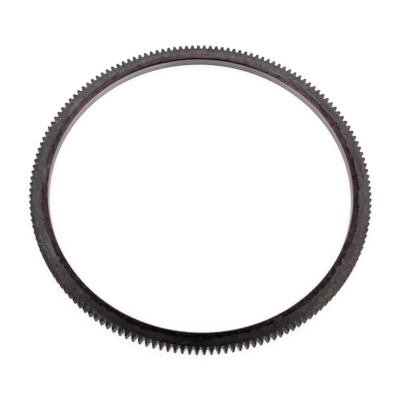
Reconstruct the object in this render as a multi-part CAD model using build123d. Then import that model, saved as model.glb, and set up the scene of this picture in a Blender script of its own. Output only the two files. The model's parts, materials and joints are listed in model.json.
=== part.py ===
# Starter ring gear of a heavy truck engine, which is shrunk onto the rim of the flywheel.
# Millimetres and degrees. The bore's axis is +Z, and the origin is its centre in the plane of
# the lower face. The starter's pinion enters from the upper face. One tooth is centred on +X.
from build123d import *
from math import acos, cos, pi, radians, sin, tan
import os

# Teeth, as the hob cuts them
TOOTH_COUNT = 160
MODULE = 3.0
PRESSURE_ANGLE = 20.0
ADDENDUM_FACTOR = 1.0
DEDENDUM_FACTOR = 1.25
ROOT_CROWN = 0.25

# Ring that carries the teeth
RIM_DEPTH = 19.25
RING_WIDTH = 17.0

# Corners broken on the lathe, before the teeth are cut
BORE_CHAMFER = 1.4
SEAT_CHAMFER = 0.5
ENTRY_CHAMFER = 0.8

# How far the tooth cutter runs past the blank
CUTTER_OVERRUN = 2.0

# Circles that follow from the teeth
PITCH_RADIUS = TOOTH_COUNT * MODULE / 2
BASE_RADIUS = PITCH_RADIUS * cos(radians(PRESSURE_ANGLE))
TIP_RADIUS = PITCH_RADIUS + ADDENDUM_FACTOR * MODULE
ROOT_RADIUS = PITCH_RADIUS - DEDENDUM_FACTOR * MODULE
BORE_RADIUS = ROOT_RADIUS - RIM_DEPTH


def involute_angle(radius):
    """Polar angle, in radians, that the involute has turned through when it reaches a radius."""
    pressure = acos(BASE_RADIUS / max(radius, BASE_RADIUS))
    return tan(pressure) - pressure


def half_space_angle(radius):
    """Half the angle, in radians, that the gap between two teeth spans at a radius."""
    return pi / (2 * TOOTH_COUNT) + involute_angle(radius) - involute_angle(PITCH_RADIUS)


def flank_point(radius, side):
    """Point on the flank at one side, 1 or -1, of a gap that is centred on +X."""
    angle = side * half_space_angle(radius)
    return (radius * cos(angle), radius * sin(angle))


def turned_blank():
    """The rolled and welded hoop, turned all over: bore, faces, outside and broken corners."""
    section = Polyline(
        (BORE_RADIUS + SEAT_CHAMFER, 0),
        (TIP_RADIUS, 0),
        (TIP_RADIUS, RING_WIDTH - ENTRY_CHAMFER),
        (TIP_RADIUS - ENTRY_CHAMFER, RING_WIDTH),
        (BORE_RADIUS + BORE_CHAMFER, RING_WIDTH),
        (BORE_RADIUS, RING_WIDTH - BORE_CHAMFER),
        (BORE_RADIUS, SEAT_CHAMFER),
        close=True,
    )
    return revolve(Plane.XZ * make_face(section), Axis.Z)


def tooth_space():
    """What the hob takes out between two teeth: two involute flanks and a crowned root."""
    root_corner = ROOT_RADIUS + ROOT_CROWN
    outside = TIP_RADIUS + CUTTER_OVERRUN
    middle = (root_corner + outside) / 2
    root = ThreePointArc(flank_point(root_corner, 1), (ROOT_RADIUS, 0), flank_point(root_corner, -1))
    right_flank = ThreePointArc(*[flank_point(r, -1) for r in (root_corner, middle, outside)])
    mouth = Line(flank_point(outside, -1), flank_point(outside, 1))
    left_flank = ThreePointArc(*[flank_point(r, 1) for r in (outside, middle, root_corner)])
    section = Face(Wire([root, right_flank, mouth, left_flank]))
    length = RING_WIDTH + 2 * CUTTER_OVERRUN
    return Pos(0, 0, -CUTTER_OVERRUN) * extrude(section, amount=length, dir=(0, 0, 1))


def ring_gear():
    """The blank, with a space cut between each tooth and the next."""
    half_pitch = 180 / TOOTH_COUNT
    spaces = PolarLocations(0, TOOTH_COUNT, start_angle=half_pitch) * tooth_space()
    return turned_blank() - spaces


os.makedirs("parts", exist_ok=True)
gear = ring_gear()
export_step(gear, "parts/ring_gear.step")
print("outside diameter", 2 * TIP_RADIUS, "bore", 2 * BORE_RADIUS, "volume", round(gear.volume))
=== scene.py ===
# %% [markdown]
# A flywheel ring gear, dressed
#
# The real part is one hoop of steel. A flat bar is rolled and welded into a ring, turned on a
# lathe, cut with 160 teeth by a hob, and its teeth are hardened by induction, which leaves bands
# of tempering colour on its faces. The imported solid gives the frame: its box, its bore and the
# place of its first tooth. This lesson models the same ring again with finer edges and finishes it.

# %% Load the frame
import json
import math

import bmesh
import bpy
from mathutils import Matrix, Vector


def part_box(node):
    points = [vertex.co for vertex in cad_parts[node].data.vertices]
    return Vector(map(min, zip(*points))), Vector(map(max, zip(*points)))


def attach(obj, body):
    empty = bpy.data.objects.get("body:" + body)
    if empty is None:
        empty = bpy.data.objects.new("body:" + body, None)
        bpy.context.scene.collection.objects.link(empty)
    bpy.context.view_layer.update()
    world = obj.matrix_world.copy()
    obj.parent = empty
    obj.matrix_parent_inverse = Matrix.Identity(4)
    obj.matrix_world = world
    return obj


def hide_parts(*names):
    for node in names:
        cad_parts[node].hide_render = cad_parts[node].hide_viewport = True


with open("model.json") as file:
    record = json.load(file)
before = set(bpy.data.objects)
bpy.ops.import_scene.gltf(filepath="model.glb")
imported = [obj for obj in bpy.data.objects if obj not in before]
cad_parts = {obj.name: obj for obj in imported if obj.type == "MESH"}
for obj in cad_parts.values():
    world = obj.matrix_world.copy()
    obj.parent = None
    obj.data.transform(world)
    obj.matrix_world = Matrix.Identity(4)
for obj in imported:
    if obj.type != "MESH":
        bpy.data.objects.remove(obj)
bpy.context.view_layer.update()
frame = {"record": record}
NODE = "ring_gear"
MM = 0.001
low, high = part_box(NODE)
print("the ring's box in mm:", [round(side / MM, 1) for side in high - low])

# %% [markdown]
# Sizes
#
# A gear needs few numbers. The outside radius and the width come from the frame's box, and the
# bore from the record. With the count of teeth they give the module, and the module gives the
# pitch, base and root circles. Edge breaks are real sizes too, because every machined edge on a
# ring like this is either chamfered on the lathe or brushed after hobbing.

# %% Driving sizes, in metres
TOOTH_COUNT = 160
PRESSURE_ANGLE = math.radians(20)
DEDENDUM = 1.25
TIP_RADIUS = high.x
WIDTH = high.z - low.z
BORE_RADIUS = next(m["dims"]["r_mm"] for m in frame["record"]["mounts"] if m["name"] == "bore") * MM
BORE_CHAMFER = 1.4 * MM
SEAT_CHAMFER = 0.5 * MM
ENTRY_CHAMFER = 0.8 * MM
ROOT_FILLET = 1.1 * MM
BRUSHED_EDGE = 0.25 * MM

MODULE = 2 * TIP_RADIUS / (TOOTH_COUNT + 2)
PITCH_RADIUS = MODULE * TOOTH_COUNT / 2
BASE_RADIUS = PITCH_RADIUS * math.cos(PRESSURE_ANGLE)
ROOT_RADIUS = PITCH_RADIUS - DEDENDUM * MODULE
PITCH_ANGLE = 2 * math.pi / TOOTH_COUNT
print("module in mm:", round(MODULE / MM, 3), "root radius in mm:", round(ROOT_RADIUS / MM, 2))

# %% [markdown]
# Helpers for edit mode
#
# Operators act on whatever is selected. One helper clears the selection before a new piece, and
# one selects faces or edges by a test on their place or normal, as a hand would click them. A
# face looks along an axis when nearly all of its normal does.

# %% Select by place
FACING = 0.9


def start_clean():
    """Leaves edit mode and selects nothing."""
    if bpy.context.object and bpy.context.object.mode != "OBJECT":
        bpy.ops.object.mode_set(mode="OBJECT")
    bpy.ops.object.select_all(action="DESELECT")


def pick(kind, test):
    """Selects the faces, edges or vertices of the mesh in edit mode that pass a test."""
    bpy.ops.mesh.select_mode(type=kind)
    bpy.ops.mesh.select_all(action="DESELECT")
    mesh = bmesh.from_edit_mesh(bpy.context.object.data)
    parts = {"VERT": mesh.verts, "EDGE": mesh.edges, "FACE": mesh.faces}[kind]
    found = [part for part in parts if test(part)]
    for part in found:
        part.select_set(True)
    bmesh.update_edit_mesh(bpy.context.object.data)
    return len(found)


print("objects that the frame left selected:", len(bpy.context.selected_objects))

# %% [markdown]
# One pitch of the rim
#
# All 160 teeth are alike, so one slice of the ring is modelled and then copied round. The slice
# is the wedge between two radial planes, one pitch wide, with a tooth in the middle, on +X. It
# starts as a cube set between the bore and the root circle. Its outer face is widened, so that
# its sides point at the ring's axis and the copies will meet.

# %% The wedge under one tooth
start_clean()
half_pitch = PITCH_ANGLE / 2
inner_width = 2 * BORE_RADIUS * math.tan(half_pitch)
bpy.ops.mesh.primitive_cube_add(
    size=1,
    location=((BORE_RADIUS + ROOT_RADIUS) / 2, 0, low.z + WIDTH / 2),
    scale=(ROOT_RADIUS - BORE_RADIUS, inner_width, WIDTH),
)
ring = bpy.context.object
ring.name = "hardened_ring_gear"
ring.data.name = ring.name
bpy.ops.object.transform_apply(location=True, rotation=False, scale=True)
bpy.ops.object.mode_set(mode="EDIT")
pick("FACE", lambda face: face.normal.x > FACING)
bpy.ops.transform.resize(value=(1, ROOT_RADIUS / BORE_RADIUS, 1), center_override=(0, 0, 0))
print("wedge width at the bore in mm:", round(inner_width / MM, 2))

# %% [markdown]
# The tooth
#
# A spur tooth's flank is an involute, the curve that a taut string's end draws as it unwinds from
# the base circle. Its formula gives the tooth's thickness at any radius. So the tooth is drawn
# out of the rim in short steps: two bisecting planes mark its foot, and the face between them is
# extruded outwards and narrowed to the thickness at each new radius. Each face will be there 160
# times, so there are only four steps, and smooth shading hides them.


# %% Tooth thickness from the involute
def involute(radius):
    """Angle that the involute has turned through at a radius."""
    pressure = math.acos(min(1, BASE_RADIUS / radius))
    return math.tan(pressure) - pressure


def tooth_half(radius):
    """Half the tooth's thickness at a radius, and how far out its corner lies along +X."""
    angle = PITCH_ANGLE / 4 + involute(PITCH_RADIUS) - involute(radius)
    return radius * math.sin(angle), radius * math.cos(angle)


FLANK_STEPS = 4
foot_half = tooth_half(ROOT_RADIUS)[0]
for side in (-1, 1):
    bpy.ops.mesh.select_all(action="SELECT")
    bpy.ops.mesh.bisect(plane_co=(0, side * foot_half, 0), plane_no=(0, 1, 0))
pick("FACE", lambda face: face.normal.x > FACING and abs(face.calc_center_median().y) < foot_half)
half, out = foot_half, ROOT_RADIUS
for step in range(1, FLANK_STEPS + 1):
    next_half, next_out = tooth_half(ROOT_RADIUS + (TIP_RADIUS - ROOT_RADIUS) * step / FLANK_STEPS)
    bpy.ops.mesh.extrude_region_move(TRANSFORM_OT_translate={"value": (next_out - out, 0, 0)})
    bpy.ops.transform.resize(value=(1, next_half / half, 1), center_override=(0, 0, 0))
    half, out = next_half, next_out
print("tooth thickness in mm, foot and tip:", round(2 * foot_half / MM, 2), round(2 * half / MM, 2))

# %% [markdown]
# Edges found by their place
#
# The next step rounds and breaks only some of the edges. Each is found by where its middle lies
# and by the axis that nearly all of its length runs along.

# %% Edges by place
ALONG = 0.99
PLACE_SLACK = 0.05 * MM


def middle(edge):
    """Middle of an edge."""
    return (edge.verts[0].co + edge.verts[1].co) / 2


def runs_along(edge, axis):
    """True for an edge that lies along an axis, 0 to 2 for X to Z."""
    direction = edge.verts[1].co - edge.verts[0].co
    return abs(direction[axis]) > ALONG * direction.length


def near(a, b, slack=PLACE_SLACK):
    """True for two sizes that agree within a slack."""
    return abs(a - b) < slack


print("upright edges in the slice:", pick("EDGE", lambda e: runs_along(e, 2)))

# %% [markdown]
# Root fillets and broken edges
#
# The hob's rounded corners leave a fillet at the foot of each flank. A bevel of the two inside
# corners makes it. The lathe breaks the bore's two edges and the tooth's upper, outer edge with
# plain chamfers: the starter's pinion enters from above, and a chamfer there helps it in. Those
# are bevels of one segment. The remaining sharp edges are only brushed. They get a flat of a
# quarter millimetre, which is what catches the light on real machined steel. A round of more
# segments wouldn't show at that width, and would double the faces.

# %% Fillets, chamfers and brushed edges
FILLET_STEPS = 3
flank_slope = math.acos(BASE_RADIUS / ROOT_RADIUS)
fillet_reach = ROOT_FILLET * math.tan((math.pi / 2 - flank_slope) / 2)
pick("EDGE", lambda e: runs_along(e, 2) and near(middle(e).x, ROOT_RADIUS)
     and near(abs(middle(e).y), foot_half))
bpy.ops.mesh.bevel(offset=fillet_reach, segments=FILLET_STEPS, affect="EDGES")

pick("EDGE", lambda e: runs_along(e, 1) and near(middle(e).x, out) and near(middle(e).z, high.z))
bpy.ops.mesh.bevel(offset=ENTRY_CHAMFER, segments=1, affect="EDGES")
for edge_height, chamfer in ((high.z, BORE_CHAMFER), (low.z, SEAT_CHAMFER)):
    pick("EDGE", lambda e: runs_along(e, 1) and near(middle(e).x, BORE_RADIUS)
         and near(middle(e).z, edge_height))
    bpy.ops.mesh.bevel(offset=chamfer, segments=1, affect="EDGES")

ANGLE_SLACK = 1e-5


def on_side(face):
    """True for a face on one of the two radial planes that bound the slice."""
    return all(near(abs(math.atan2(v.co.y, v.co.x)), half_pitch, ANGLE_SLACK) for v in face.verts)


pick("FACE", on_side)
bpy.ops.mesh.delete(type="ONLY_FACE")
SHARP = math.radians(50)
pick("EDGE", lambda e: len(e.link_faces) == 2 and e.calc_face_angle() > SHARP)
bpy.ops.mesh.bevel(offset=BRUSHED_EDGE, segments=1, affect="EDGES")
print("faces in one slice:", len(bmesh.from_edit_mesh(ring.data).faces))

# %% [markdown]
# Which surface was made how
#
# Four surfaces meet on this one piece, and each was made another way. The two flat faces keep the
# temper colours of the hardening. The bore is turned last, so it is bright. The flanks and roots
# are as the hob left them, and the tips keep the black scale of the induction coil, which comes
# closest to them. They could be four objects, but a solid ring is one piece, so it gets four
# material slots. The faces are sorted on the slice, where one test each is enough, and the copies
# inherit the slots.

# %% Sort the slice's faces into four finishes
FINISHES = ("tempered_steel", "turned_steel", "hobbed_steel", "scaled_steel")
for finish in FINISHES:
    material = bpy.data.materials.new(finish)
    material.use_nodes = True
    ring.data.materials.append(material)


CHAMFER_FACING = 0.5
UPRIGHT = 0.3


def in_bore(face):
    """True for the turned wall of the bore."""
    return face.normal.x < -FACING


def on_tip(face):
    """True for the land on the tooth's tip and the entry chamfer above it."""
    place = face.calc_center_median()
    return face.normal.x > CHAMFER_FACING and place.x > TIP_RADIUS - ENTRY_CHAMFER - BRUSHED_EDGE


def on_flank(face):
    """True for what the hob cut, which stands upright: flanks, fillets and roots."""
    return abs(face.normal.z) < UPRIGHT and not in_bore(face) and not on_tip(face)


for finish, test in (("turned_steel", in_bore), ("hobbed_steel", on_flank), ("scaled_steel", on_tip)):
    count = pick("FACE", test)
    ring.active_material_index = FINISHES.index(finish)
    bpy.ops.object.material_slot_assign()
    print(finish, "faces in the slice:", count)

# %% [markdown]
# Round the ring
#
# Spin with its duplicate option copies the slice at every pitch. It makes 159 copies beside the
# first one. The copies share their radial borders, so merging the doubles closes the ring, and
# recalculating the normals turns every face outwards.

# %% Copy the slice 159 times and close the ring
MERGE_REACH = 0.004 * MM
bpy.ops.mesh.select_all(action="SELECT")
bpy.ops.mesh.spin(
    steps=TOOTH_COUNT - 1,
    dupli=True,
    angle=2 * math.pi - PITCH_ANGLE,
    center=(0, 0, 0),
    axis=(0, 0, 1),
)
bpy.ops.mesh.select_all(action="SELECT")
bpy.ops.mesh.remove_doubles(threshold=MERGE_REACH)
bpy.ops.mesh.normals_make_consistent(inside=False)
body = bmesh.from_edit_mesh(ring.data)
print("open edges:", sum(not e.is_manifold for e in body.edges))
print("volume in cm3:", round(body.calc_volume() / (10 * MM) ** 3, 2))
bpy.ops.object.mode_set(mode="OBJECT")
print("triangles:", sum(len(face.vertices) - 2 for face in ring.data.polygons))

# %% [markdown]
# Shading of flat and round surfaces
#
# The bore and the flanks are curved, and are made of narrow flat faces. Smooth shading below an
# angle of 35 degrees hides their facets and keeps the true corners. The weighted normals make the
# large flat faces win over the thin brushed edges beside them, so that the flats stay flat.

# %% Smooth the curves and keep the corners
SMOOTH_BELOW = math.radians(35)
bpy.ops.object.shade_smooth_by_angle(angle=SMOOTH_BELOW)
bpy.ops.object.modifier_add(type="WEIGHTED_NORMAL")
ring.modifiers[-1].keep_sharp = True
bpy.ops.object.modifier_apply(modifier=ring.modifiers[-1].name)
print("sharp edges kept:", sum(edge.use_edge_sharp for edge in ring.data.edges))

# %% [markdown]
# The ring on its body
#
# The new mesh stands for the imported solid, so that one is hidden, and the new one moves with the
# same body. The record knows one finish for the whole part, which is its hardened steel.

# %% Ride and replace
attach(ring, "root")
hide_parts(NODE)
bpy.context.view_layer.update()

# %% [markdown]
# Helpers for the finishes
#
# Colours are written as sRGB hex codes, which is how they are read off a screen, and one function
# turns them into the linear values that a shader counts in. Another adds a node with its settings
# and links, so that a finish reads as a list of what it is made of.


# %% Colours and nodes
def colour(hex_code):
    """Linear colour from an sRGB hex code."""
    parts = [int(hex_code[i : i + 2], 16) / 255 for i in (0, 2, 4)]
    return [p / 12.92 if p <= 0.04045 else ((p + 0.055) / 1.055) ** 2.4 for p in parts] + [1]


def feed(tree, node, inputs):
    """Gives a node's inputs, by name or number, each a value or a link from a socket."""
    for key, value in inputs.items():
        if isinstance(value, bpy.types.NodeSocket):
            tree.links.new(value, node.inputs[key])
        else:
            node.inputs[key].default_value = value


def add_node(tree, kind, inputs=None, **settings):
    """A shader node of a kind, with its inputs and its settings."""
    node = tree.nodes.new("ShaderNode" + kind)
    for name, value in settings.items():
        setattr(node, name, value)
    feed(tree, node, inputs or {})
    return node


print("a mid grey in linear values:", [round(part, 3) for part in colour("808080")])

# %% [markdown]
# Patterns that follow the ring
#
# Everything that happens to a ring on a lathe or in an induction coil runs round it. So the
# patterns use a point's direction from the axis and its radius, and not its x and y. A noise
# that is read on a circle of the right size has cells of a chosen length round the ring, with no
# seam, and of a chosen depth across it. Most of a noise lies between 0.25 and 0.75, which is
# stretched to lie between -1 and 1. The patterns count lengths in millimetres, and bearings in
# degrees from +X.

# %% Place on the ring and noise along it
SIZES = (BORE_RADIUS, ROOT_RADIUS, TIP_RADIUS, WIDTH)
BORE_MM, ROOT_MM, TIP_MM, WIDTH_MM = [size / MM for size in SIZES]
MEAN_RADIUS = (BORE_MM + ROOT_MM) / 2
NOISE_LOW, NOISE_HIGH = 0.25, 0.75


def ring_place(tree):
    """A point's direction from the axis, its radius and its height."""
    place = add_node(tree, "TexCoord").outputs["Object"]
    in_mm = add_node(tree, "VectorMath", {0: place, "Scale": 1 / MM}, operation="SCALE").outputs[0]
    flat = add_node(tree, "VectorMath", {0: in_mm, 1: (1, 1, 0)}, operation="MULTIPLY").outputs[0]
    radius = add_node(tree, "VectorMath", {0: flat}, operation="LENGTH").outputs["Value"]
    toward = add_node(tree, "VectorMath", {0: flat}, operation="NORMALIZE").outputs[0]
    height = add_node(tree, "SeparateXYZ", {0: in_mm}).outputs["Z"]
    return toward, radius, height


def mottle(tree, toward, across, length, depth, seed, detail=2):
    """Noise from about -1 to 1, in cells so long round the ring and so deep across it."""
    circle = {0: toward, "Scale": MEAN_RADIUS / length}
    around = add_node(tree, "VectorMath", circle, operation="SCALE").outputs[0]
    level = {0: across, 1: 1 / depth, 2: seed}
    lift = {"Z": add_node(tree, "Math", level, operation="MULTIPLY_ADD").outputs[0]}
    spot = {0: around, 1: add_node(tree, "CombineXYZ", lift).outputs[0]}
    read_at = add_node(tree, "VectorMath", spot, operation="ADD").outputs[0]
    noise = add_node(tree, "TexNoise", {"Vector": read_at, "Scale": 1, "Detail": detail}).outputs[0]
    swing = {"Value": noise, "From Min": NOISE_LOW, "From Max": NOISE_HIGH, "To Min": -1, "To Max": 1}
    return add_node(tree, "MapRange", swing, clamp=False).outputs[0]


print("radii of bore, roots and tips in mm:", round(BORE_MM, 1), round(ROOT_MM, 1), round(TIP_MM, 1))

# %% [markdown]
# One side of the ring
#
# Much of what heat and scale did is on one side only. A side is given by its bearing and by half
# the angle that it takes up, and it fades out over a blend. A pattern can be added to any value by
# a chosen amount, which here makes the blend uneven.

# %% One side of the ring
SIDE_WANDER = 0.06


def bearing(degrees):
    """Direction from the axis at a bearing."""
    return (math.cos(math.radians(degrees)), math.sin(math.radians(degrees)), 0)


def add_patterns(tree, start, parts):
    """A start value with patterns added to it, each by its own amount."""
    total = start
    for pattern, amount in parts:
        part = {0: pattern, 1: amount, 2: total}
        total = add_node(tree, "Math", part, operation="MULTIPLY_ADD").outputs[0]
    return total


def side_share(tree, toward, degrees, half_angle, blend, wander=0.0):
    """1 within an angle of a bearing and 0 away from it; a pattern can make the blend uneven."""
    facing = {0: toward, 1: bearing(degrees)}
    lean = add_node(tree, "VectorMath", facing, operation="DOT_PRODUCT").outputs["Value"]
    reach = {
        "Value": add_patterns(tree, lean, ((wander, SIDE_WANDER),)),
        "From Min": math.cos(math.radians(half_angle + blend)),
        "From Max": math.cos(math.radians(half_angle - blend)),
    }
    return add_node(tree, "MapRange", reach, interpolation_type="SMOOTHSTEP").outputs[0]


print("a bearing of 90 degrees points to:", [round(part, 3) for part in bearing(90)])

# %% [markdown]
# Tempered steel: the two flat faces
#
# The coil heats the teeth, and the heat runs inwards. Steel that has been hot carries a thin
# oxide, and its colour tells how hot it was: wine and brown where it stayed coolest, by the bore,
# then a nearly black line, then blue, grey and brown where it was hottest. A radial colour ramp
# makes these bands. Plain rings would look printed, so noise pushes the band's outer line in and
# out, and the ramp itself changes round the ring: the coil sat nearer on one side, and there the
# band is darkest. Opposite, it is pink, and at one place it has nearly gone.

# %% Where the bands lie
tempered = ring.data.materials["tempered_steel"].node_tree
toward, radius, height = ring_place(tempered)
BAND_DEPTH = 8.2
WANDER_REACH = 0.9
RIPPLE_REACH = 2.4
COIL_SIDE = {"degrees": 292, "half_angle": 107, "blend": 6}
PALE_SIDE = {"degrees": 81, "half_angle": 25, "blend": 7}
wander = mottle(tempered, toward, radius, length=30, depth=14, seed=3)
ripple = mottle(tempered, toward, radius, length=9, depth=5, seed=9, detail=3)
past_band = {0: radius, 1: BORE_MM + BAND_DEPTH}
border = add_node(tempered, "Math", past_band, operation="SUBTRACT").outputs[0]
border = add_patterns(tempered, border, ((wander, WANDER_REACH), (ripple, RIPPLE_REACH)))
coil_near = side_share(tempered, toward, **COIL_SIDE, wander=wander)
pale_near = side_share(tempered, toward, **PALE_SIDE, wander=wander)
print("the band reaches to a radius in mm of:", BORE_MM + BAND_DEPTH)

# %% [markdown]
# The three ramps are set in millimetres from the band's outer line, so a designer can read them as
# a drawing: minus is towards the bore, plus towards the teeth. They are laid over one another by
# mix nodes, whose inputs 6 and 7 are the colour below and the colour above.


# %% The colours of the three sides
def colours_along(tree, value, stops):
    """Colours along a value, given as pairs of the value and a linear colour."""
    first, last = stops[0][0], stops[-1][0]
    share = add_node(tree, "MapRange", {"Value": value, "From Min": first, "From Max": last})
    ramp = add_node(tree, "ValToRGB", {0: share.outputs[0]})
    marks = ramp.color_ramp.elements
    for number, (place, tone) in enumerate(stops):
        at = (place - first) / (last - first)
        mark = marks[0] if number == 0 else marks[-1] if number == len(stops) - 1 else marks.new(at)
        mark.position = at
        mark.color = tone
    return ramp.outputs[0]


DEEP = (
    (-9, "553740"), (-5.6, "452c33"), (-4.4, "35262a"), (-1, "2d2628"), (-0.1, "322e32"),
    (0.7, "65636a"), (2.4, "5b585b"), (7, "625a5b"), (15, "6d6261"),
)
PINK = (
    (-9, "5f4d52"), (-5, "5a494e"), (-2.5, "4f4347"), (-0.5, "4e4749"),
    (0.7, "5f5b5e"), (6, "5e5a5b"), (10, "595656"), (14, "565353"),
)
PALE = (
    (-9, "5e5055"), (-5, "66575c"), (-2, "665a5e"),
    (1, "656062"), (6, "5e5b5c"), (10, "5b5a59"), (14, "5d5b5b"),
)
deep, pink, pale = [
    colours_along(tempered, border, [(mm, colour(hex_code)) for mm, hex_code in stops])
    for stops in (DEEP, PINK, PALE)
]
skin = add_node(tempered, "Mix", {0: pale_near, 6: pink, 7: pale}, data_type="RGBA").outputs[2]
skin = add_node(tempered, "Mix", {0: coil_near, 6: skin, 7: deep}, data_type="RGBA").outputs[2]
print("the colours reach from and to, in mm from the line:", DEEP[0][0], DEEP[-1][0])

# %% [markdown]
# Each kind of stain keeps to its own zone of the skin: the grey, the band, the part by the bore or
# the strip just outside the band. A zone is given by two distances from the band's line, where it
# starts and where it is full.

# %% The zones of the skin
ZONES = {"grey": (0.2, 1.5), "band": (0, -1.5), "by the bore": (-3, -5), "beside the band": (5.0, 2.5)}
zones = {}
for name, (start, full) in ZONES.items():
    reach = {"Value": border, "From Min": start, "From Max": full}
    zones[name] = add_node(tempered, "MapRange", reach, interpolation_type="SMOOTHSTEP").outputs[0]
grey, band, inner, beside = zones.values()
black_band = add_node(tempered, "Math", {0: band, 1: coil_near}, operation="MULTIPLY").outputs[0]
strip = add_node(tempered, "Math", {0: beside, 1: grey}, operation="MULTIPLY").outputs[0]
print("zones of the skin:", ", ".join(zones))

# %% [markdown]
# A finish is built like paint, from the ground up. A stain lays a new colour over the one below
# wherever a pattern is strong enough. Between the band and the teeth the oxide is thick and grey.
# It has green, blue and mauve clouds where it is a little thinner, stretched round the ring as the
# heat was. The band itself is blotched with wine red and black.


# %% Clouds on the grey and blotches in the band
def cover(tree, below, share, hex_code, strength=1.0):
    """The colour below, with another over it by a share from 0 to 1 and a strength."""
    mask = add_node(tree, "Math", {0: share, 1: strength}, operation="MULTIPLY").outputs[0]
    return add_node(tree, "Mix", {0: mask, 6: below, 7: colour(hex_code)}, data_type="RGBA").outputs[2]


def stain(tree, below, pattern, start, full, hex_code, strength=1.0, within=1.0):
    """The colour below, with another over it where a pattern goes from start to full."""
    amount = {"Value": pattern, "From Min": start, "From Max": full, "To Min": 0, "To Max": strength}
    share = add_node(tree, "MapRange", amount, interpolation_type="SMOOTHSTEP").outputs[0]
    return cover(tree, below, share, hex_code, within)


cloud = mottle(tempered, toward, radius, length=22, depth=6, seed=21)
warm = mottle(tempered, toward, radius, length=17, depth=5, seed=37)
blotch = mottle(tempered, toward, radius, length=7, depth=2.5, seed=52, detail=3)
patch = mottle(tempered, toward, radius, length=18, depth=6, seed=64)
skin = stain(tempered, skin, cloud, 0.25, 0.7, "576560", strength=0.6, within=grey)
skin = stain(tempered, skin, cloud, -0.2, -0.7, "5a5b68", strength=0.6, within=grey)
skin = stain(tempered, skin, warm, 0.0, 0.5, "6b5c5f", strength=0.8, within=grey)
skin = stain(tempered, skin, blotch, 0.05, 0.5, "633d47", strength=0.5, within=inner)
skin = stain(tempered, skin, blotch, -0.05, -0.45, "282124", strength=0.6, within=black_band)
skin = stain(tempered, skin, patch, 0.15, 0.5, "5a494b", strength=0.45, within=band)
print("nodes in the tempered steel so far:", len(tempered.nodes))

# %% [markdown]
# By the teeth the skin is broken into flecks, light ones where scale has flaked off and dark ones
# where it holds. The real ones are under a millimetre, so they are drawn 3 mm long to show. Under
# them the skin is tinted with broad patches of rust red and olive.

# %% Flecks by the teeth
FLECKS_FROM, FLECKS_FULL = 231, 236
FLECKS_WANDER = 6.0
fleck = mottle(tempered, toward, radius, length=3, depth=2, seed=71)
rust = mottle(tempered, toward, radius, length=12, depth=7, seed=88)
reach = add_patterns(tempered, radius, ((patch, FLECKS_WANDER),))
zone = {"Value": reach, "From Min": FLECKS_FROM, "From Max": FLECKS_FULL}
by_teeth = add_node(tempered, "MapRange", zone, interpolation_type="SMOOTHSTEP").outputs[0]
skin = stain(tempered, skin, rust, 0.1, 0.6, "7a5b59", strength=0.4, within=by_teeth)
skin = stain(tempered, skin, rust, -0.1, -0.6, "686451", strength=0.4, within=by_teeth)
skin = stain(tempered, skin, fleck, 0.2, 0.6, "8f837c", strength=0.55, within=by_teeth)
skin = stain(tempered, skin, fleck, -0.1, -0.5, "302c2b", strength=0.7, within=by_teeth)
print("the flecks are full from about this radius in mm:", FLECKS_FULL)

# %% [markdown]
# A spot is a stain at one place, with a ragged edge. It fades with the distance from its middle,
# which is counted in its own half length round the ring and half depth across it, so that a spot
# can be long and narrow.

# %% One ragged spot
SPOT_RAGGED = 0.6
SPOT_EDGE = 1.15
SPOT_FULL = 0.6


def ragged_spot(tree, below, place, degrees, at_radius, length, depth, hex_code, strength=0.8):
    """The colour below with a ragged spot over it, which has a bearing, a radius and a size."""
    toward, radius, ragged = place
    facing = {0: toward, 1: bearing(degrees)}
    chord = add_node(tree, "VectorMath", facing, operation="DISTANCE").outputs["Value"]
    halves = {0: chord, 1: 2 * MEAN_RADIUS / length}
    aside = add_node(tree, "Math", halves, operation="MULTIPLY").outputs[0]
    off = add_node(tree, "Math", {0: radius, 1: at_radius}, operation="SUBTRACT").outputs[0]
    out_by = add_node(tree, "Math", {0: off, 1: 2 / depth}, operation="MULTIPLY").outputs[0]
    both = add_node(tree, "CombineXYZ", {0: aside, 1: out_by}).outputs[0]
    reach = add_node(tree, "VectorMath", {0: both}, operation="LENGTH").outputs["Value"]
    reach = add_patterns(tree, reach, ((ragged, SPOT_RAGGED),))
    return stain(tree, below, reach, SPOT_EDGE, SPOT_FULL, hex_code, strength)


print("a spot fades between these shares of its half size:", SPOT_FULL, SPOT_EDGE)
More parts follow.
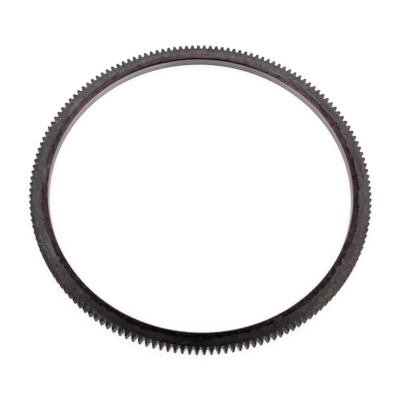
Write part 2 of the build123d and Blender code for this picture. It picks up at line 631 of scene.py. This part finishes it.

# %% [markdown]
# Single spots are listed one by one, each where the coil or a clamp left it, except the light tan
# ones by the tooth ends on the near side, which are painted highlight, and the dark ones at the
# near-left tips, which are painted shade. They are grouped by colour, and the last ones lie on top.
# A spot is given by its bearing, its radius, its length round the ring and its depth across it.

# %% Spots listed one by one
SPOTS = (
    ("544046", ((28, 221, 80, 9), (200, 221, 100, 10))),
    ("47363a", ((346, 222, 60, 8), (168, 219, 54, 7), (13, 218.3, 36, 4.5))),
    ("686364", ((142, 229, 90, 10),)),
    ("584f53", ((14, 230.5, 60, 10),)),
    ("60695d", ((60, 233.5, 22, 5), (68, 229.5, 16, 7), (75, 231.5, 24, 5),
                (126, 227.5, 14, 7), (139, 226.5, 22, 5))),
    ("666f6b", ((44, 226.5, 34, 3.6), (53, 229, 26, 5.5), (115, 228.5, 20, 6), (130, 229, 14, 4),
                (229, 229.5, 12, 6), (285.5, 228.5, 24, 3.4), (310, 229, 18, 6))),
    ("5c5d69", ((1, 229.5, 16, 5), (18.5, 228.5, 14, 5), (163, 226.5, 14, 6),
                (184, 230, 30, 6), (326, 230, 16, 6))),
    ("737a84", ((209, 228.5, 40, 6), (260, 228.5, 34, 8))),
    ("5f5057", ((232, 229.5, 16, 7), (301, 228, 22, 12), (337, 231, 50, 9))),
    ("654650", ((52, 220, 20, 6), (125, 219, 22, 5), (146, 219.5, 36, 6))),
    ("6b3547", ((206, 219.8, 14, 4.5), (307.5, 219.5, 16, 3.6), (29, 219.3, 14, 3))),
    ("7b7275", ((61, 223.5, 38, 5), (151, 226.5, 40, 7), (180, 222, 34, 9), (300.5, 222, 26, 4))),
    ("6f5e5c", ((14, 236, 26, 6), (190, 236, 46, 6), (222, 235, 40, 7),
                (307, 235, 44, 7), (328, 237, 60, 7))),
    ("73665b", ((357, 237, 84, 9),)),
    ("747070", ((52, 240, 130, 9),)),
    # painted highlight: light tan on the tooth ends on the near side
    ("7f746c", ((240, 235.8, 40, 4), (258, 238, 50, 8), (288, 239, 70, 10), (316, 239.5, 60, 9))),
    # painted shade: darker tooth tips on the near left
    ("443f3c", ((239, 241.5, 130, 8), (217, 241.5, 70, 8))),
    ("545151", ((92, 234.5, 190, 8), (173, 238, 28, 9), (96, 240, 170, 8))),
    ("5f5458", ((61.5, 218.5, 28, 5.5),)),
    ("4e4847", ((183, 241, 240, 9),)),
    ("575352", ((125, 241, 150, 7),)),
    ("744e4f", ((223, 239, 18, 4), (229, 239.5, 12, 3), (290, 235.5, 30, 4.5))),
    ("2f2b30", ((5, 224.5, 18, 3), (28, 224, 12, 6), (193, 225, 40, 3.2), (270, 227, 54, 7))),
    ("2a2528", ((60.3, 219.8, 19, 4.6),)),
    ("232736", ((181.5, 218.8, 24, 5.5),)),
    ("5d5344", ((82, 219.5, 20, 4),)),
)
spot_place = (toward, radius, ripple)
for hex_code, places in SPOTS:
    for degrees, at_radius, length, depth in places:
        skin = ragged_spot(tempered, skin, spot_place, degrees, at_radius, length, depth, hex_code)
print("spots set by hand:", sum(len(places) for hex_code, places in SPOTS))

# %% [markdown]
# The band is the most restless part of the skin. It is peppered with pale wine red and with black,
# over the spots too. The strip just outside its line is uneven as well, in light and dark greys.

# %% Flecks in the band and beside it
smudge = mottle(tempered, toward, radius, length=8, depth=3.5, seed=103, detail=3)
skin = stain(tempered, skin, fleck, 0.2, 0.7, "7c626a", strength=0.4, within=band)
skin = stain(tempered, skin, smudge, -0.1, -0.5, "241b1e", strength=0.45, within=band)
skin = stain(tempered, skin, smudge, 0.05, 0.5, "8a8c92", strength=0.2, within=strip)
skin = stain(tempered, skin, smudge, -0.05, -0.5, "3c3b3f", strength=0.25, within=strip)
print("the uneven strip ends, in mm from the line, at:", ZONES["beside the band"][0])

# %% [markdown]
# The chamfer at the far side of the bore carries a black line, partly scale and partly a painted dark
# reflection, and the tooth ends darken towards the tips.

# %% Black line on the chamfer, partly painted reflection, and scale on the tips
CHAMFER_MM = BORE_MM + BORE_CHAMFER / MM
scale_and_reflection_side = side_share(tempered, toward, degrees=98, half_angle=28, blend=16)
# the black line on the far chamfer is partly scale and partly a painted dark reflection
skin = stain(tempered, skin, radius, CHAMFER_MM + 0.2, CHAMFER_MM - 0.3, "120a0d", within=scale_and_reflection_side)
skin = stain(tempered, skin, radius, TIP_MM - 3.4, TIP_MM - 0.9, "33302e", strength=0.55)
print("the black line ends at a radius in mm of:", round(CHAMFER_MM, 2))

# %% [markdown]
# The lathe's tool leaves fine rings on the face, 0.2 mm apart on the real one. That is too fine
# to show, so they are drawn as streaks 0.9 mm deep. They change the brightness a little, and so do
# the flecks and the smudges that hands and rags leave. A small bump from the streaks breaks up the
# reflections. The skin is satin, and the teeth carry more scale than the rest, so they are duller.

# %% Turning streaks, gloss and bump of the faces
STREAK_BUMP = 0.002 * MM
SATIN, SCALY = 0.12, 0.18
streak = mottle(tempered, toward, radius, length=60, depth=0.9, seed=15, detail=3)
shade = add_patterns(tempered, 1.0, ((streak, 0.2), (fleck, 0.22), (smudge, 0.15)))
skin = add_node(tempered, "VectorMath", {0: skin, "Scale": shade}, operation="SCALE").outputs[0]
outwards = {"Value": radius, "From Min": ROOT_MM - 1, "From Max": ROOT_MM + 2}
dull = add_node(tempered, "MapRange", {**outwards, "To Min": SATIN, "To Max": SCALY}).outputs[0]
dull = add_patterns(tempered, dull, ((cloud, 0.03),))
relief = {"Height": streak, "Strength": 1.0, "Distance": STREAK_BUMP}
bump = add_node(tempered, "Bump", relief).outputs[0]
shader = tempered.nodes["Principled BSDF"]
feed(tempered, shader, {"Metallic": 1, "Base Color": skin, "Roughness": dull, "Normal": bump})
print("nodes in the tempered steel:", len(tempered.nodes))

# %% [markdown]
# Turned steel: the bore
#
# The bore is turned to size after hardening, because it has to shrink onto the flywheel. So it is
# the brightest surface, a clean grey with the tool's rings round it. They are 0.2 mm apart on the
# real one and are drawn 0.7 mm deep, with broader scores 2 mm deep where the tool rubbed. A
# breath of pink heat colour is left along the upper edge, and it reaches lower at the two sides.
# The wall is darkest at the back, which is painted shade, and a black line runs along its top there,
# partly scale and partly a painted dark reflection. The top is darker at the left end too. The
# lowest strip is dark grey, except at the two sides.

# %% Sides and patterns of the bore
turned = ring.data.materials["turned_steel"].node_tree
toward, radius, height = ring_place(turned)
rings = mottle(turned, toward, height, length=160, depth=0.7, seed=5, detail=3)
scores = mottle(turned, toward, height, length=45, depth=2.0, seed=41, detail=3)
haze = mottle(turned, toward, height, length=40, depth=9, seed=12)
# painted shade: the back of the wall is darker
back = side_share(turned, toward, degrees=85, half_angle=20, blend=10)
# the black line: partly scale, partly a painted dark reflection
black_line = side_share(turned, toward, degrees=100, half_angle=48, blend=13)
# painted sheen: the left of the wall is lighter
left_side = side_share(turned, toward, degrees=152, half_angle=25, blend=12)
left_end = side_share(turned, toward, degrees=172, half_angle=20, blend=12)
sideways = add_node(turned, "SeparateXYZ", {0: toward}).outputs["X"]
sideways = add_node(turned, "Math", {0: sideways}, operation="ABSOLUTE").outputs[0]
reach = {"Value": sideways, "From Min": 0.82, "From Max": 0.95}
at_sides = add_node(turned, "MapRange", reach, interpolation_type="SMOOTHSTEP").outputs[0]
between = add_node(turned, "Math", {0: 1.0, 1: at_sides}, operation="SUBTRACT").outputs[0]
print("nodes in the turned steel so far:", len(turned.nodes))

# %% [markdown]
# The wall's stains and painted shade are listed with the two heights where each starts and is full,
# its colour, its strength and the side that it keeps to. In order they are the pink upper edge, its
# deeper part at the two sides, the black line, partly scale and partly a painted dark reflection, the
# darker top at the left end, painted shade on the lower part at the back and the dark lowest strip.

# %% Stains and painted shade on the wall of the bore
WALL_TOP = WIDTH_MM - BORE_CHAMFER / MM
WALL_STAINS_AND_SHADE = (
    (WALL_TOP - 2.5, WALL_TOP - 0.4, "45373b", 0.9, 1.0),
    (WALL_TOP - 4.0, WALL_TOP - 0.9, "45323a", 0.8, at_sides),
    # the black line, partly scale and partly a painted dark reflection
    (WALL_TOP - 2.5, WALL_TOP - 1.6, "160c0f", 0.95, black_line),
    (WALL_TOP - 2.8, WALL_TOP - 1.2, "332b30", 0.6, left_end),
    # painted shade on the lower part of the wall at the back
    (0.4 * WIDTH_MM, 0.1 * WIDTH_MM, "6f6f6f", 0.45, back),
    (3.0, 0.8, "3a3a3a", 0.5, between),
)
level = {"Value": height, "From Min": 0.25 * WIDTH_MM, "From Max": 0.9 * WIDTH_MM}
upper = add_node(turned, "MapRange", level, interpolation_type="SMOOTHSTEP").outputs[0]
wall = cover(turned, colour("8d8d8d"), upper, "a8999c")
for start, full, hex_code, strength, within in WALL_STAINS_AND_SHADE:
    wall = stain(turned, wall, height, start, full, hex_code, strength, within)
print("stains on the wall:", len(WALL_STAINS_AND_SHADE))

# %% [markdown]
# The rings and scores change the brightness. So do painted light and shade by the sides: painted
# shade darkens the back, a painted sheen lightens the left, and a little painted shade darkens the
# two ends. Bare metal shines nearly white where the eye grazes it, but this thin oxide stays
# pinkish there, which is what the specular tint is for.

# %% Brightness with painted light and shade, gloss and bump of the bore
RING_BUMP = 0.003 * MM
# painted shade at the back and a painted sheen on the left, with the rings, scores and haze
parts = ((back, -0.34), (left_side, 0.2), (rings, 0.15), (scores, 0.2), (haze, 0.06))
shade = add_patterns(turned, 1.04, parts)
# painted shade at the two ends
to_ends = {"Value": sideways, "From Min": 0.92, "From Max": 1.0, "To Min": 1.0, "To Max": 0.85}
ends = add_node(turned, "MapRange", to_ends).outputs[0]
shade = add_node(turned, "Math", {0: shade, 1: ends}, operation="MULTIPLY").outputs[0]
wall = add_node(turned, "VectorMath", {0: wall, "Scale": shade}, operation="SCALE").outputs[0]
bump = add_node(turned, "Bump", {"Height": rings, "Strength": 1.0, "Distance": RING_BUMP}).outputs[0]
shader = turned.nodes["Principled BSDF"]
feed(turned, shader, {"Metallic": 1, "Roughness": 0.22, "Specular Tint": colour("ece4e7")})
feed(turned, shader, {"Base Color": wall, "Normal": bump})
print("nodes in the turned steel:", len(turned.nodes))

# %% [markdown]
# Hobbed steel: flanks, fillets and roots
#
# A hob cuts in passes, which leaves shallow steps along the tooth, about 1.5 mm apart. The surface
# is less smooth than the bore. The hardening gave the flanks a dark brown skin, and the roots
# stayed light grey, some more than others, except close to the upper face. On one side of the ring
# the flanks carry painted shade, darker and with a dimmer shine at a grazing angle, and next to
# that a painted highlight lightens them.

# %% Dark flanks and light roots with feed marks
hobbed = ring.data.materials["hobbed_steel"].node_tree
toward, radius, height = ring_place(hobbed)
HOB_FEED = 1.5
FEED_BUMP = 0.004 * MM
cut = mottle(hobbed, toward, height, length=4, depth=3, seed=7)
clean = mottle(hobbed, toward, height, length=8, depth=12, seed=19)
cleaned = {"Value": clean, "From Min": -0.5, "From Max": 0.4, "To Min": 0.45}
light_root = add_node(hobbed, "MapRange", cleaned).outputs[0]
# painted shade on the flanks of one side, and a painted highlight beside it
shaded_flanks = side_share(hobbed, toward, degrees=214, half_angle=24, blend=8)
flank_highlight = side_share(hobbed, toward, degrees=247, half_angle=9, blend=4)
flank = stain(hobbed, colour("2a2725"), cut, -0.6, 0.6, "48423b")
flank = stain(hobbed, flank, radius, ROOT_MM + 2.1, ROOT_MM + 0.6, "86827d", within=light_root)
flank = stain(hobbed, flank, height, WIDTH_MM - 8, WIDTH_MM - 0.5, "2e2a28", strength=0.8)
flank = cover(hobbed, flank, shaded_flanks, "24211f", strength=0.55)
flank = cover(hobbed, flank, flank_highlight, "6e6962", strength=0.4)
# the painted shade also dims the shine there
glance = cover(hobbed, colour("ffffff"), shaded_flanks, "e6e4e2")
glance = cover(hobbed, glance, flank_highlight, "ffffff")
passes = {0: height, 1: 2 * math.pi / HOB_FEED}
turns = add_node(hobbed, "Math", passes, operation="MULTIPLY").outputs[0]
steps = add_node(hobbed, "Math", {0: turns}, operation="SINE").outputs[0]
bump = add_node(hobbed, "Bump", {"Height": steps, "Strength": 1.0, "Distance": FEED_BUMP}).outputs[0]
shader = hobbed.nodes["Principled BSDF"]
feed(hobbed, shader, {"Metallic": 1, "Roughness": 0.42, "Specular Tint": glance})
feed(hobbed, shader, {"Base Color": flank, "Normal": bump})
print("nodes in the hobbed steel:", len(hobbed.nodes))

# %% [markdown]
# Scaled steel: the tips
#
# The tips come closest to the coil and are the hottest. They keep a black, slightly rough scale,
# which looks nearly black against a white ground. Scale is an oxide and no metal, so it has no
# metallic shine.

# %% Black scale on the tips
scaled = ring.data.materials["scaled_steel"].node_tree
toward, radius, height = ring_place(scaled)
GRIT_BUMP = 0.02 * MM
grit = mottle(scaled, toward, height, length=3, depth=2, seed=4, detail=3)
scale = stain(scaled, colour("0a0909"), grit, -0.5, 0.7, "1d1b19")
bump = add_node(scaled, "Bump", {"Height": grit, "Strength": 1.0, "Distance": GRIT_BUMP}).outputs[0]
shader = scaled.nodes["Principled BSDF"]
feed(scaled, shader, {"Specular IOR Level": 0.08, "Roughness": 0.55})
feed(scaled, shader, {"Base Color": scale, "Normal": bump})
print("nodes in the scaled steel:", len(scaled.nodes))

# %% [markdown]
# Floor
#
# The ring lies on white paper. Paper scatters light evenly, so its shader is plain diffuse. A
# catalogue picture shows such paper pure white, so the camera and the reflections get some light
# from the paper itself, and no light from it falls on anything else. The soft shadow stays.

# %% White paper
PAPER_SIZE = 12
PAPER_GLOW = 0.8
start_clean()
bpy.ops.mesh.primitive_plane_add(size=PAPER_SIZE)
floor = bpy.context.object
floor.name = "floor"
paper = bpy.data.materials.new("white_paper")
paper.use_nodes = True
tree = paper.node_tree
tree.nodes.clear()
rays = add_node(tree, "LightPath").outputs
looks = {0: rays["Is Camera Ray"], 1: rays["Is Glossy Ray"]}
seen = add_node(tree, "Math", looks, operation="MAXIMUM").outputs[0]
lift = add_node(tree, "Math", {0: seen, 1: PAPER_GLOW}, operation="MULTIPLY").outputs[0]
diffuse = add_node(tree, "BsdfDiffuse", {"Color": colour("909090")}).outputs[0]
glow = add_node(tree, "Emission", {"Color": colour("ffffff"), "Strength": lift}).outputs[0]
both = add_node(tree, "AddShader", {0: diffuse, 1: glow}).outputs[0]
add_node(tree, "OutputMaterial", {"Surface": both})
floor.data.materials.append(paper)
print("side of the paper in m:", PAPER_SIZE)

# %% [markdown]
# Light
#
# Bright metal shows its surroundings more than its colour, so the light is a white tent all round.
# Overhead it has a gap between its back wall and its roof. Its mirror image is what darkens the
# near half of the ring's face. The tent shines at a strength of 1, at which a surface shows about
# the colour that it was given.

# %% White tent with a dark gap overhead
GAP_LEVELS = ((1, 1.0), (6, 0.0), (14, 0.0), (17, 0.3), (20, 0.68), (28, 0.74), (38, 1.0))
GAP_END_FROM, GAP_END_FULL = math.radians(22), math.radians(34)
world = bpy.data.worlds.new("soft_tent")
bpy.context.scene.world = world
world.use_nodes = True
tree = world.node_tree
tree.nodes.clear()
place = add_node(tree, "TexCoord").outputs["Generated"]
split = add_node(tree, "SeparateXYZ", {0: place}).outputs
back_tilt = add_node(tree, "Math", {0: split["Y"], 1: split["Z"]}, operation="ARCTAN2").outputs[0]
side_tilt = add_node(tree, "Math", {0: split["X"], 1: split["Z"]}, operation="ARCTAN2").outputs[0]
side_tilt = add_node(tree, "Math", {0: side_tilt}, operation="ABSOLUTE").outputs[0]
levels = [(math.radians(degrees), (level, level, level, 1)) for degrees, level in GAP_LEVELS]
gap = colours_along(tree, back_tilt, levels)
ends = {"Value": side_tilt, "From Min": GAP_END_FROM, "From Max": GAP_END_FULL}
beyond = add_node(tree, "MapRange", ends, interpolation_type="SMOOTHSTEP").outputs[0]
tent = add_node(tree, "Math", {0: gap, 1: beyond}, operation="MAXIMUM").outputs[0]
background = add_node(tree, "Background", {"Color": colour("ffffff"), "Strength": tent}).outputs[0]
add_node(tree, "OutputWorld", {"Surface": background})
print("the gap lies between these degrees from the zenith:", GAP_LEVELS[0][0], GAP_LEVELS[-1][0])

# %% [markdown]
# Camera
#
# The camera stands in front of the ring and looks steeply down on it. Its place was found by
# fitting the ring's circles to the picture. It is tipped by 3 degrees, as a camera in the hand is.

# %% Camera
CAMERA_AZIMUTH = math.radians(-89.26)
CAMERA_ELEVATION = math.radians(63.13)
CAMERA_DISTANCE = 1.0087
LENS = 63.2
SENSOR = 36
ROLL = math.radians(3.03)
AIM = Vector((0, -0.0238, WIDTH / 2))
centre = Vector((0, 0, WIDTH / 2))
stand = centre + CAMERA_DISTANCE * Vector(
    (
        math.cos(CAMERA_ELEVATION) * math.cos(CAMERA_AZIMUTH),
        math.cos(CAMERA_ELEVATION) * math.sin(CAMERA_AZIMUTH),
        math.sin(CAMERA_ELEVATION),
    )
)
start_clean()
bpy.ops.object.camera_add(location=stand)
camera = bpy.context.object
gaze = (AIM - stand).to_track_quat("-Z", "Y").to_matrix()
camera.rotation_euler = (gaze @ Matrix.Rotation(ROLL, 3, "Z")).to_euler()
camera.data.lens = LENS
camera.data.sensor_width = SENSOR
bpy.context.scene.camera = camera
bpy.context.scene.view_settings.view_transform = "Standard"
print("camera stands at:", [round(v, 3) for v in stand])

# %% Finish
print("the ring is dressed")
